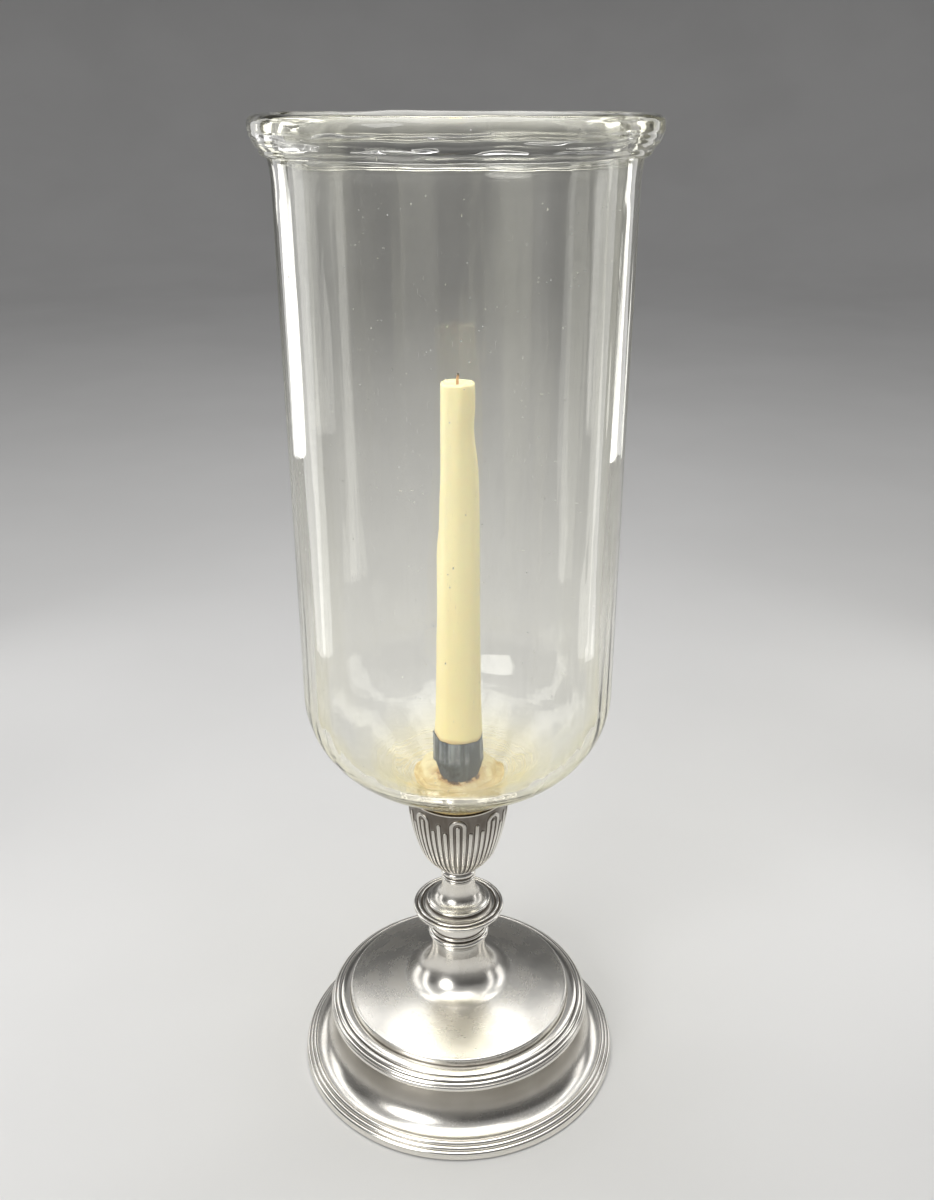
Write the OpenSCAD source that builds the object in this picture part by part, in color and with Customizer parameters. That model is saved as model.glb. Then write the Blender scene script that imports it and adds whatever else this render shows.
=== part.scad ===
// Hurricane candle holder: a silver-plated candlestick with a blown glass storm shade.
// Millimetres, +Z up, origin at the centre of the face that it stands on.

/* [Foot] */
// Diameter of the foot across its plain wall
foot_d = 158; // [154:1:164]
// Height at which the wall meets the reeds
foot_wall_h = 2.4; // [2.2:0.1:3]
// Diameter of the throat under the dome
throat_d = 124; // [120:1:125]
// Thickness of the spun sheet
sheet_t = 1.2; // [0.8:0.1:1.3]
// Number of reeds on the foot's rim
rim_reeds = 3; // [2:1:4]

/* [Dome] */
// Diameter across the lowest reed of the dome's border
border_d = 130.3; // [129.5:0.1:132]
// Diameter of the dome's polished top
plateau_d = 110; // [108:1:111]
// Height of the edge of the polished top
plateau_z = 37; // [36.5:0.5:39]
// Spherical radius of the polished top
crown_r = 190; // [180:5:240]

/* [Stem] */
// Diameter of the trumpet where it spreads on the dome
trumpet_foot_d = 54; // [50:1:58]
// Diameter at the top of the trumpet
trumpet_top_d = 26.4; // [25:0.2:27]
// Diameter over the large bead of the lower knop
knop_d = 29.8; // [29:0.2:33]
// Diameter of the plain drum
drum_d = 27.2; // [26:0.2:28]
// Diameter of the saucer collar over its outer bead
collar_d = 44.4; // [43:0.2:48]
// Diameter of the waist below the urn
waist_d = 15.6; // [15:0.2:16.4]

/* [Urn] */
// Largest diameter of the urn under its ribs
urn_d = 46.6; // [46:0.2:49]
// Height of the urn
urn_h = 43; // [40:0.5:46]
// Wall thickness of the urn
urn_t = 1.6; // [1.2:0.1:2]
// Number of arches in the stop fluting
arches = 8; // [6:1:8]
// Height of a rib above the ground of the fluting
rib_h = 0.7; // [0.4:0.1:0.9]

/* [Shade] */
// Outside diameter of the glass at the bottom of its straight wall
shade_d = 138.8; // [130:0.2:146]
// Height of the glass from its ground foot to the top of its rim
shade_h = 295.4; // [270:0.2:320]
// Thickness of the glass
glass_t = 5; // [4:0.1:5.5]
// Slope of the conical bottom, in degrees
cone_angle = 35.5; // [33:0.5:38]
// Outside radius of the turn from the bottom into the wall
bowl_r = 43.4; // [38:0.2:48]
// Diameter over the folded rim
rim_d = 156; // [152:1:158]

/* [Candle] */
// Diameter of the candle in its socket
candle_d = 23.4; // [20:0.1:23.6]
// Diameter at the top of the candle
candle_top_d = 14.6; // [12:0.2:18]
// Length of the candle
candle_l = 193; // [120:1:200]
// Outside diameter of the metal tube that holds the candle
tube_d = 24.8; // [24.6:0.1:25.4]
// Depth of the tube above its floor
tube_depth = 31; // [24:0.5:36]

/* [Hidden] */
$fn = 96;
curve_steps = 14;
urn_steps = 5;
silver = "#c8c2b6";
steel = "#8b8d90";

// Fastenings
rod_r = 3;
rod_hole_r = 3.25;
nut_flats = 10;
nut_h = 5;
washer_r = 8;
washer_t = 1;

// Foot
foot_r = foot_d / 2;
wall_lift = 0.5;
wall_batter = 0.4;
rim_w = 5.2;
rim_slope = 0.78;
lip_h = 0.35;
reed_rise = 0.8;
throat_r = throat_d / 2;
felt_t = 1.5;
felt_r = foot_r - 2.6;
plate_t = 1.2;
plate_r = foot_r - 4.2;
plate_top = felt_t + plate_t;
dish_r = 16;
dish_top_r = 13;
dish_z = 9.2;
weight_bore_r = dish_r + 3;
rim_in = [foot_r - wall_batter - rim_w, foot_wall_h + rim_slope * rim_w];
cove_z = 23;
cove_w = rim_in[0] - throat_r;
cove_h = cove_z - rim_in[1] - lip_h;

// Dome border
border_r = border_d / 2;
plateau_r = plateau_d / 2;
border_z = 27.6;
border_slope = 0.48;
skirt_r = border_r - 1.45;
skirt_z = border_z + 0.6;
ledge_z = skirt_z + border_slope * (skirt_r - plateau_r);
edge_round = 1.1;
crown_z = plateau_z - sqrt(crown_r * crown_r - plateau_r * plateau_r);
seat_r = trumpet_foot_d / 2;
seat_edge = 0.7;
seat_z = crown_z + sqrt(crown_r * crown_r - seat_r * seat_r) - seat_edge;

// Heights where the turned pieces of the stem meet
trumpet_z = 66;
knop_z = 75;
drum_z = 82;
collar_z = 89.8;
waist_z = 101.6;
neck_z = 107.9;
urn_z = neck_z + urn_h;

// Beads of the stem, each as its outermost radius, height above the foot of its piece, and width
knop_beads = [[trumpet_top_d / 2 + 0.6, 1, 1.2], [knop_d / 2, 3.4, 3.2], [knop_d / 2 - 0.7, 6.8, 1.7]];
collar_beads = [[collar_d / 2, 3.3, 2], [collar_d / 2 - 2.1, 4, 1.8], [collar_d / 2 - 6.7, 6.6, 1.6]];
neck_beads = [[waist_d / 2 + 0.6, 0.8, 1.1], [waist_d / 2 + 0.6, 2, 1.1], [waist_d / 2 + 0.9, 4.4, 2.8]];

// Urn
urn_r = urn_d / 2;
urn_foot_r = 7.9;
urn_belly = [18.4, neck_z + 14.1];
lip_t = 1.2;
ledge_t = 1.4;
liner_r = tube_d / 2 + 0.3;
liner_t = 1.2;
liner_z = neck_z + 20;
liner_floor_t = 2;
rod_top_z = liner_z + 9;
rib_pitch = 360 / (arches * 6);
rib_turn = rib_pitch * 0.7;
rib_foot_z = neck_z + 1.6;
rib_root = 0.6;

// Shade and candle
seat_t = 1.3;
seat_inset = 0.4;
shade_z = urn_z + seat_t;
shade_r = shade_d / 2;
shade_foot_r = 22.9;
shade_hole_r = 17;
wall_spread = 0.6;
lip_z = shade_z + shade_h;
fold_h = 16.5;
rim_r = rim_d / 2;
tube_r = tube_d / 2;
tube_t = 0.4;
tube_floor_z = shade_z + 0.3;
tube_foot_z = liner_z + 9.6;
candle_z = tube_floor_z + 0.3;
candle_r = candle_d / 2;
tube_top_z = tube_floor_z + tube_depth;
wick_r = 0.75;
wick_up = 4.1;

// Points on an arc of an ellipse, by angle
function arc(c, rx, rz, a0, a1, n = curve_steps) =
    [for (i = [0:n]) c + [rx * cos(a0 + (a1 - a0) * i / n), rz * sin(a0 + (a1 - a0) * i / n)]];

// Points on a curve that leaves p0 towards p1 and reaches p2 from it
function bend(p0, p1, p2, n = curve_steps) =
    [for (i = [0:n]) let (t = i / n) (1 - t) * (1 - t) * p0 + 2 * t * (1 - t) * p1 + t * t * p2];

// Outline of the urn from its foot to its mouth, grown outwards by g
function urn_line(g, n = urn_steps) =
    let (
        lower = bend([urn_foot_r, neck_z], [urn_foot_r + 7.9, neck_z + 6.9], urn_belly, n),
        upper = bend(urn_belly, [urn_r + 0.3, neck_z + 29], [urn_r, urn_z], n)
    )
    [for (p = concat(lower, [for (i = [1:n]) upper[i]])) p + [g, 0]];

// Part of an outline between two heights, with both ends cut level
function cut_line(line, z0, z1) = concat(
    [[lookup(z0, [for (p = line) [p[1], p[0]]]), z0]],
    [for (p = line) if (p[1] > z0 + 0.05 && p[1] < z1 - 0.05) p],
    [[lookup(z1, [for (p = line) [p[1], p[0]]]), z1]]
);

// Half-round reeds side by side through a row of points, each rising by a share of its half width
function reeds(points, rise) = [
    for (i = [0:len(points) - 2])
        let (m = (points[i] + points[i + 1]) / 2, h = (points[i + 1] - points[i]) / 2)
            for (a = [0:20:180]) m - h * cos(a) + rise * [-h[1], h[0]] * sin(a)
];

function reversed(line) = [for (i = [len(line) - 1:-1:0]) line[i]];

module lathe(points) {
    rotate_extrude() polygon(points);
}

// Half-round mouldings on a piece whose foot is at height z
module beads(list, z) {
    for (b = list) translate([b[0] - b[2] / 2, z + b[1]]) circle(d = b[2]);
}

module hex_nut(z) {
    translate([0, 0, z]) difference() {
        cylinder(d = nut_flats / cos(30), h = nut_h, $fn = 6);
        translate([0, 0, -1]) cylinder(r = rod_r, h = nut_h + 2);
    }
}

module washer(z) {
    translate([0, 0, z]) difference() {
        cylinder(r = washer_r, h = washer_t);
        translate([0, 0, -1]) cylinder(r = rod_hole_r, h = washer_t + 2);
    }
}

module felt_pad() {
    color("#3c4a3a") cylinder(r = felt_r, h = felt_t);
}

// Steel plate closing the foot, dished up in the middle to hide the nut
module base_plate() {
    color(steel) lathe([
        [dish_r, felt_t], [plate_r, felt_t], [plate_r, plate_top], [dish_r + plate_t, plate_top],
        [dish_top_r + plate_t, dish_z], [rod_hole_r, dish_z],
        [rod_hole_r, dish_z - plate_t], [dish_top_r, dish_z - plate_t]
    ]);
}

// Cast filling that weights the foot
module base_weight() {
    gap = 0.4;
    side = arc([rim_in[0], cove_z], cove_w + sheet_t + gap, cove_h + sheet_t + gap, 180, 248);
    color("#4a4238") lathe(concat(
        [[weight_bore_r, plate_top], [side[curve_steps][0], plate_top]],
        reversed(side),
        [[throat_r - sheet_t - gap, border_z], [weight_bore_r, border_z]]
    ));
}

// Spun foot: plain wall, sloping shoulder and deep cove
module foot_flange() {
    c = [rim_in[0], cove_z];
    top = border_z + border_slope * (skirt_r - sheet_t - throat_r);
    color(silver) lathe(concat(
        [[foot_r - sheet_t, wall_lift], [foot_r, wall_lift], [foot_r - wall_batter, foot_wall_h], rim_in],
        arc(c, cove_w, cove_h, 270, 180),
        [[throat_r, top], [throat_r - sheet_t, top + border_slope * sheet_t]],
        arc(c, cove_w + sheet_t, cove_h + sheet_t, 180, 268),
        [[foot_r - wall_batter - sheet_t, foot_wall_h - rim_slope * sheet_t]]
    ));
}

// Three reeds on the foot's shoulder
module foot_rim_wire() {
    wall_top = [foot_r - wall_batter, foot_wall_h];
    quirks = [for (i = [0:rim_reeds]) rim_in + (wall_top - rim_in) * i / rim_reeds];
    color(silver) lathe(reeds(quirks, reed_rise));
}

// Dome with its polished top, rolled edge and sloping skirt
module dome_shell() {
    c = [0, crown_z];
    a_seat = acos(seat_r / crown_r);
    a_edge = acos((plateau_r - edge_round) / crown_r);
    edge = c + crown_r * [cos(a_edge), sin(a_edge)];
    inner = crown_r - sheet_t;
    hole_r = 10;
    color(silver) lathe(concat(
        [[hole_r, seat_z], [seat_r, seat_z]],
        arc(c, crown_r, crown_r, a_seat, a_edge),
        arc(edge - [0, edge_round], edge_round, edge_round, 70, 0, 5),
        [[plateau_r, ledge_z], [skirt_r, skirt_z], [skirt_r, border_z], [skirt_r - sheet_t, border_z]],
        [[plateau_r - sheet_t, ledge_z - 0.6]],
        arc(c, inner, inner, a_edge + 0.2, acos((seat_r - 1) / inner)),
        [[seat_r - 1, seat_z - sheet_t], [hole_r, seat_z - sheet_t]]
    ));
}

// Reeded wire on the dome's skirt: a wide flat reed, then three that shrink as they go down
module dome_border_wire() {
    upper = [border_r - 5, skirt_z + 4.1];
    lower = [border_r - 0.5, border_z];
    color(silver) lathe(concat(
        [[plateau_r, ledge_z]],
        reeds([[plateau_r, ledge_z + 1], upper], 0.3),
        reeds([upper, [border_r - 2.5, skirt_z + 3], [border_r - 0.9, skirt_z + 1.7], lower], 0.5),
        [[skirt_r, border_z], [skirt_r, skirt_z]]
    ));
}

// Hollow trumpet that stands in the dome's seat and runs out into the dome's top
module stem_trumpet() {
    top_r = trumpet_top_d / 2;
    foot = [seat_r - 0.05, seat_z + seat_edge];
    flare_r = top_r + 2;
    flare = [flare_r, foot[1] + (seat_r - flare_r) * seat_r / sqrt(crown_r * crown_r - seat_r * seat_r)];
    web = 4;
    color(silver) lathe(concat(
        [[flare_r, seat_z], [foot[0], seat_z]],
        bend(foot, flare, [top_r, trumpet_z - web - 1]),
        [[top_r, trumpet_z], [rod_hole_r, trumpet_z], [rod_hole_r, trumpet_z - web], [top_r - 2.7, trumpet_z - web]]
    ));
}

// Knop with a large bead and a small one, between narrow quirks
module lower_knop() {
    color(silver) rotate_extrude() union() {
        translate([rod_hole_r, trumpet_z]) square([trumpet_top_d / 2 - rod_hole_r, knop_z - trumpet_z]);
        beads(knop_beads, trumpet_z);
    }
}

module stem_drum() {
    end_r = drum_d / 2 + 0.2;
    color(silver) lathe(concat(
        [[rod_hole_r, knop_z]],
        bend([end_r, knop_z], [drum_d / 2 - 0.5, (knop_z + drum_z) / 2], [end_r, drum_z]),
        [[rod_hole_r, drum_z]]
    ));
}

// Saucer collar with two beads at its edge and one round the bell
module saucer_collar() {
    r = collar_d / 2;
    color(silver) rotate_extrude() union() {
        polygon(concat(
            [[rod_hole_r, drum_z]],
            bend([drum_d / 2 + 0.2, drum_z], [drum_d / 2 + 1, drum_z + 2.2], [r - 1.4, drum_z + 2.6], 8),
            [[r - 1.2, drum_z + 3.8]],
            bend([r - 4, drum_z + 4.2], [r - 6.6, drum_z + 4.4], [r - 7, drum_z + 6], 8),
            [[r - 8.4, collar_z], [rod_hole_r, collar_z]]
        ));
        beads(collar_beads, drum_z);
    }
}

// Waist that spreads into a bell on the collar
module bell_waist() {
    r = waist_d / 2;
    color(silver) lathe(concat(
        [[rod_hole_r, collar_z], [r + 5.8, collar_z]],
        bend([r + 5.8, collar_z + 0.3], [r - 0.2, collar_z + 0.9], [r, waist_z]),
        [[rod_hole_r, waist_z]]
    ));
}

// Astragal under the urn, with two fine fillets below it
module neck_ring() {
    color(silver) rotate_extrude() union() {
        translate([rod_hole_r, waist_z]) square([waist_d / 2 - rod_hole_r, neck_z - waist_z]);
        beads(neck_beads, waist_z);
    }
}

// Raised band of the fluting between two heights, centred on an angle
module band(angle, turn, rise, z0, z1) {
    outer = cut_line(urn_line(rise), z0, z1);
    inner = cut_line(urn_line(-rib_root), z0, z1);
    rotate([0, 0, angle - turn / 2]) rotate_extrude(angle = turn) polygon(concat(outer, reversed(inner)));
}

module rib(angle, top_z) {
    band(angle, rib_turn, rib_h, rib_foot_z, top_z);
}

// Head that joins the two legs of an arch, a little lower and narrower than they are
module arch_head(angle) {
    band(angle, rib_pitch * 2 + rib_turn * 0.9, rib_h - 0.1, urn_z - 4.1, urn_z - 2);
}

// Hollow urn with stop fluting: each arch holds a rib, with short and tall ribs between arches
module urn_cup() {
    arch_z = urn_z - 3;
    tall_z = urn_z - 5.4;
    short_z = urn_z - 9.6;
    floor_z = neck_z + 5;
    inner_t = urn_t + 0.8;
    rest_z = urn_z - ledge_t;
    cavity = [for (p = urn_line(-inner_t)) if (p[1] > floor_z + 1 && p[1] < rest_z) p];
    color(silver) union() {
        lathe(concat(
            [[rod_hole_r, neck_z]],
            urn_line(0),
            [[urn_r - lip_t, urn_z], [urn_r - lip_t, rest_z], [urn_r - inner_t, rest_z]],
            reversed(cavity),
            [[rod_hole_r, floor_z]]
        ));
        for (k = [0:arches - 1]) {
            a = k * 360 / arches - 90;
            rib(a, tall_z);
            rib(a + 3 * rib_pitch, tall_z);
            for (s = [-1, 1]) {
                rib(a + s * rib_pitch, arch_z);
                rib(a + s * 2 * rib_pitch, short_z);
            }
            arch_head(a);
        }
    }
}

// Sleeve inside the urn that takes the shade's tube, with a flange on the urn's ledge
module nozzle_liner() {
    out_r = liner_r + liner_t;
    flange_r = urn_r - lip_t - 0.05;
    floor_z = liner_z + liner_floor_t;
    color(steel) lathe([
        [rod_hole_r, liner_z], [out_r, liner_z], [out_r, urn_z - ledge_t], [flange_r, urn_z - ledge_t],
        [flange_r, urn_z], [liner_r, urn_z], [liner_r, floor_z], [rod_hole_r, floor_z]
    ]);
}

// Cork washer that the glass stands on
module seat_ring() {
    color("#5a4632") lathe([
        [liner_r + seat_inset, urn_z], [shade_foot_r - seat_inset, urn_z],
        [shade_foot_r - seat_inset, shade_z], [liner_r + seat_inset, shade_z]
    ]);
}

// Rod that clamps the stack from the foot's plate to the liner's floor
module tie_rod() {
    foot_z = felt_t + 0.2;
    color(steel) translate([0, 0, foot_z]) cylinder(r = rod_r, h = rod_top_z - foot_z);
}

module base_washer() {
    color(steel) washer(dish_z - plate_t - washer_t);
}

module base_nut() {
    color(steel) hex_nut(dish_z - plate_t - washer_t - nut_h);
}

module cup_washer() {
    color(steel) washer(liner_z + liner_floor_t);
}

module cup_nut() {
    color(steel) hex_nut(liner_z + liner_floor_t + washer_t);
}

// Metal tube: a socket for the candle above its floor, a plug for the liner below
module candle_tube() {
    floor_t = 2;
    plug_in = tube_r - 1;
    color("#5b5f66") lathe([
        [0, tube_floor_z - floor_t], [plug_in, tube_floor_z - floor_t], [plug_in, tube_foot_z],
        [tube_r, tube_foot_z], [tube_r, tube_top_z], [tube_r - tube_t, tube_top_z],
        [tube_r - tube_t, tube_floor_z], [0, tube_floor_z]
    ]);
}

// Plaster that bonds the glass to the tube: a flat ring, heaped up next to the tube
module plaster_collar() {
    slope = tan(cone_angle);
    hole_z = shade_z + glass_t / cos(cone_angle) - slope * (shade_foot_r - shade_hole_r);
    edge_r = 22;
    edge_z = hole_z + slope * (edge_r - shade_hole_r);
    color("#d9c9a3") lathe(concat(
        [[tube_r, shade_z], [shade_hole_r, shade_z], [shade_hole_r, hole_z], [edge_r, edge_z]],
        bend([edge_r - 0.3, edge_z + 0.8], [15.5, edge_z + 1.2], [tube_r + 0.9, edge_z + 7]),
        [[tube_r, edge_z + 7.6]]
    ));
}

// Outline of the glass from its foot up to the underside of the fold, moved inwards by t
function glass_line(t) =
    let (
        start = [shade_foot_r, shade_z] + t * [-sin(cone_angle), cos(cone_angle)],
        bowl_x = shade_r - bowl_r,
        bowl_z = shade_z + tan(cone_angle) * (bowl_x + bowl_r * sin(cone_angle) - shade_foot_r)
            + bowl_r * cos(cone_angle),
        top = [shade_r + wall_spread - t, lip_z - fold_h - 14]
    )
    concat([start], arc([bowl_x, bowl_z], bowl_r - t, bowl_r - t, cone_angle - 90, 0), [top]);

// Blown glass shade with an open foot and a thick folded rim
module glass_shade() {
    outer = glass_line(0);
    inner = glass_line(glass_t);
    neck_r = shade_r + 2;
    slope = tan(cone_angle);
    hole_z = inner[0][1] - slope * (inner[0][0] - shade_hole_r);
    fold_z = lip_z - fold_h;
    wall_r = shade_r + wall_spread;
    mouth_r = wall_r - glass_t;
    color("#dfe6e2", 0.35) lathe(concat(
        [[shade_hole_r, shade_z]],
        outer,
        bend([wall_r, fold_z - 10], [wall_r + 0.3, fold_z - 3], [neck_r, fold_z], 6),
        bend([neck_r + 2.6, fold_z + 0.6], [rim_r - 1, lip_z - 11], [rim_r, lip_z - 5.5], 8),
        bend([rim_r - 0.1, lip_z - 3], [rim_r - 0.4, lip_z], [rim_r - 5, lip_z], 6),
        bend([mouth_r + 4.4, lip_z], [mouth_r + 1.2, lip_z - 1.5], [mouth_r + 0.6, lip_z - 8], 6),
        reversed(inner),
        [[shade_hole_r, hole_z]]
    ));
}

// Tapered candle with a bore for its wick and a dished top
module candle() {
    top_z = candle_z + candle_l;
    top_r = candle_top_d / 2;
    dish = 0.8;
    bore_r = wick_r + 0.05;
    color("#efe3bd") lathe(concat(
        [[bore_r, candle_z], [candle_r, candle_z], [candle_r, tube_top_z], [top_r, top_z - 1]],
        arc([top_r - 0.8, top_z - 1], 0.8, 1, 0, 90, 5),
        [[bore_r + 1.5, top_z - dish], [bore_r, top_z - dish]]
    ));
}

module wick() {
    foot_z = candle_z + 0.5;
    length = candle_z + candle_l + wick_up - foot_z;
    color("#6b4a2c") translate([0, 0, foot_z]) cylinder(r = wick_r, h = length);
}

felt_pad();
base_plate();
base_weight();
foot_flange();
foot_rim_wire();
dome_shell();
dome_border_wire();
stem_trumpet();
lower_knop();
stem_drum();
saucer_collar();
bell_waist();
neck_ring();
urn_cup();
nozzle_liner();
seat_ring();
tie_rod();
base_washer();
base_nut();
cup_washer();
cup_nut();
candle_tube();
plaster_collar();
glass_shade();
candle();
wick();
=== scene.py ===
import math

import bpy
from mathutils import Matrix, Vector, noise


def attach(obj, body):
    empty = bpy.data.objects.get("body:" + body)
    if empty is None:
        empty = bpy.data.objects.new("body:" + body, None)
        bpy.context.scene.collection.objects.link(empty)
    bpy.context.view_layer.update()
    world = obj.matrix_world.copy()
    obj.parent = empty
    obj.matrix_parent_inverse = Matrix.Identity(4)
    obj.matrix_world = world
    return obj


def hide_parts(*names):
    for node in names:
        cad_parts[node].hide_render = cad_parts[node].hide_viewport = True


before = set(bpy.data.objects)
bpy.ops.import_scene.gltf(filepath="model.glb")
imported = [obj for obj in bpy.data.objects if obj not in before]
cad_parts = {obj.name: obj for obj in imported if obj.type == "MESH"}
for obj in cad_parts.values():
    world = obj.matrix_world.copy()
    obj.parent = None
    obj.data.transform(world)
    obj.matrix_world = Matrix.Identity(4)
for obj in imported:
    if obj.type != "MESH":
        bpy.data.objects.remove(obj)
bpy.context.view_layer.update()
mm = 0.001

# The camera stands in front of the piece and looks down on it
view = {"place": (0.0042, -0.4731, 0.4522), "tilt": 66.71, "lens": 35.07, "filmHeight": 36.0, "near": 0.01}
camera = bpy.data.objects.new("camera", bpy.data.cameras.new("camera"))
bpy.context.scene.collection.objects.link(camera)
camera.location = view["place"]
camera.rotation_euler = (math.radians(view["tilt"]), 0, 0)
camera.data.sensor_fit = "VERTICAL"
camera.data.sensor_height = view["filmHeight"]
camera.data.lens = view["lens"]
camera.data.clip_start = view["near"]
bpy.context.scene.camera = camera
bpy.context.scene.view_settings.view_transform = "Standard"


# An output socket that takes part in Python arithmetic
class Wire:
    def __init__(self, finish, socket):
        self.finish, self.socket = finish, socket

    def out(self, name):
        return Wire(self.finish, self.socket.node.outputs[name])

    def calc(self, operation, a, b):
        return self.finish.add("Math", {"operation": operation}, {0: a, 1: b})

    def __add__(self, other):
        return self.calc("ADD", self, other)

    def __radd__(self, other):
        return self.calc("ADD", other, self)

    def __sub__(self, other):
        return self.calc("SUBTRACT", self, other)

    def __rsub__(self, other):
        return self.calc("SUBTRACT", other, self)

    def __mul__(self, other):
        return self.calc("MULTIPLY", self, other)

    def __truediv__(self, other):
        return self.calc("DIVIDE", self, other)

    def __pow__(self, other):
        return self.calc("POWER", self, other)


# A node tree with the few helpers that the finishes below share
class Finish:
    def __init__(self, name, owner=None):
        self.owner = owner or bpy.data.materials.new(name)
        self.owner.use_nodes = True
        self.tree = self.owner.node_tree
        self.tree.nodes.clear()

    def add(self, kind, settings=None, sockets=None, out=0):
        node = self.tree.nodes.new("ShaderNode" + kind)
        for key, value in (settings or {}).items():
            setattr(node, key, value)
        for key, value in (sockets or {}).items():
            if isinstance(value, Wire):
                self.tree.links.new(value.socket, node.inputs[key])
            else:
                node.inputs[key].default_value = value
        return Wire(self, node.outputs[out]) if node.outputs else None

    def place(self):
        return self.add("TexCoord", out="Object")

    def split(self, where):
        parts = self.add("SeparateXYZ", {}, {0: where})
        return tuple(parts.out(name) for name in "XYZ")

    def mark(self, name):
        return self.add("Attribute", {"attribute_name": name}, out="Fac")

    def grain(self, where, scale, detail=3.0, roughness=0.5):
        sockets = {"Vector": where, "Scale": scale, "Detail": detail, "Roughness": roughness}
        return self.add("TexNoise", {}, sockets)

    # Grain that is drawn out up and down, the more the smaller share is
    def upright(self, where, share, scale, detail=3.0, roughness=0.5):
        return self.grain(self.mapped(where, scale=(1, 1, share)), scale, detail, roughness)

    def cells(self, where, scale):
        return self.add("TexVoronoi", {"feature": "F1"}, {"Vector": where, "Scale": scale})

    def mapped(self, where, turn=(0, 0, 0), scale=(1, 1, 1)):
        turn = tuple(math.radians(a) for a in turn)
        return self.add("Mapping", {}, {"Vector": where, "Rotation": turn, "Scale": scale})

    def ease(self, value, low, high):
        sockets = {"Value": value, "From Min": low, "From Max": high}
        return self.add("MapRange", {"interpolation_type": "SMOOTHSTEP"}, sockets)

    def blend(self, share, first, second):
        first, second = (c if isinstance(c, Wire) else (*c, 1.0) for c in (first, second))
        return self.add("Mix", {"data_type": "RGBA"}, {0: share, 6: first, 7: second}, out=2)

    def bump(self, height, distance):
        return self.add("Bump", {}, {"Height": height, "Distance": distance})

    # A coordinate that draws rings round the axis, pitch millimetres apart
    def rings(self, where, pitch, arc, climb=1.7):
        x, y, z = self.split(where)
        radius = (x * x + y * y) ** 0.5
        along = (radius + z * climb) / (pitch * mm)
        return self.add("CombineXYZ", {}, {0: x / radius * arc, 1: y / radius * arc, 2: along})

    # Fine lines in several directions, width and length in millimetres
    def scratches(self, where, turns, width, length, low, high):
        total = None
        scale = (1 / (width * mm), 1 / (width * mm), 1 / (length * mm))
        for turn in turns:
            streak = self.ease(self.grain(self.mapped(where, turn, scale), 1.0, 2.0), low, high)
            total = streak if total is None else total + streak
        return total

    def surface(self, sockets):
        return self.add("BsdfPrincipled", {}, sockets)

    def done(self, shader, volume=None):
        out = {"Surface": shader}
        if volume is not None:
            out["Volume"] = volume
        self.add("OutputMaterial", {}, out)
        return self.owner


# In the looks below, a name that ends in Z holds the two heights between which a change runs, in metres
silverLook = {
    "bright": (0.89, 0.865, 0.81), "warm": (0.72, 0.67, 0.58), "tarnish": (0.085, 0.066, 0.050),
    "dullAndShade": (0.27, 0.245, 0.21), "patina": 0.5, "grimeAndShade": 0.92, "polish": 0.16, "brush": 0.09, "haze": 0.05,
    "hairs": [(15, 70, 5), (60, 20, 40), (95, 50, 110)], "hairWidth": 0.35, "hairLength": 22.0,
    "strokePitch": 0.9, "scratchDepth": 0.000012,
}


def silverFinish():
    look = silverLook
    f = Finish("worn silver plate")
    where = f.place()
    hollow, worn, brushed, dullAndShade = (f.mark(name) for name in ("hollow", "worn", "brushed", "dullAndShade"))
    cloud = f.grain(where, 34.0, 4.0)
    strokes = f.grain(f.rings(where, look["strokePitch"], 5.0), 1.0, 3.0, 0.6)
    smear = f.grain(f.mapped(where, (20, 40, 10), (1, 1, 0.35)), 120.0, 3.0, 0.55)
    hairs = f.scratches(where, look["hairs"], look["hairWidth"], look["hairLength"], 0.66, 0.78)
    # tarnish in the hollows, which on the urn also carries painted shade
    grimeAndShade = f.ease(hollow * (cloud * 0.45 + smear * 0.65 + 0.45), 0.18, 0.92)
    patina = f.ease(cloud * 0.6 + smear * 0.5 + (strokes - 0.5) * brushed * 0.3, 0.36, 0.86) * (1 - worn)
    colour = f.blend(patina * look["patina"], look["bright"], look["warm"])
    # painted shade: a darker band where a piece asks for one, as in the foot's cove under the dome border
    colour = f.blend(dullAndShade * (cloud * 0.4 + 0.7), colour, look["dullAndShade"])
    colour = f.blend(grimeAndShade * look["grimeAndShade"], colour, look["tarnish"])
    rough = look["polish"] + f.ease(smear, 0.25, 0.80) * look["haze"] + hairs * 0.10 + grimeAndShade * 0.25
    rough = rough + brushed * look["brush"] * (strokes * 0.8 + cloud * 1.2) + dullAndShade * 0.12
    height = smear * 0.6 - hairs * 0.15 + strokes * brushed * 0.15
    return f.done(f.surface({
        "Base Color": colour, "Metallic": 1.0, "Roughness": rough,
        "Normal": f.bump(height, look["scratchDepth"]),
    }))


glassLook = {
    "tint": (1.0, 0.972, 0.66), "density": 18.0, "index": 1.50, "shadow": (0.95, 0.95, 0.93),
    "straw": (0.995, 0.985, 0.92), "strawZ": (0.180, 0.160), "edge": (0.94, 0.87, 0.46), "edgeZ": (0.235, 0.190),
    "dust": (0.86, 0.86, 0.84), "stain": (0.86, 0.745, 0.40), "veil": 0.085, "bloom": 0.22, "rippleDepth": 0.00004,
    "hairs": [(90, 0, 35), (80, 0, 120), (10, 15, 0)], "hairWidth": 0.30, "hairLength": 9.0,
    "nicks": [(90, 0, 90), (70, 0, 20)], "nickWidth": 0.22, "nickLength": 4.0, "bandPitch": 1.8,
}


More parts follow.
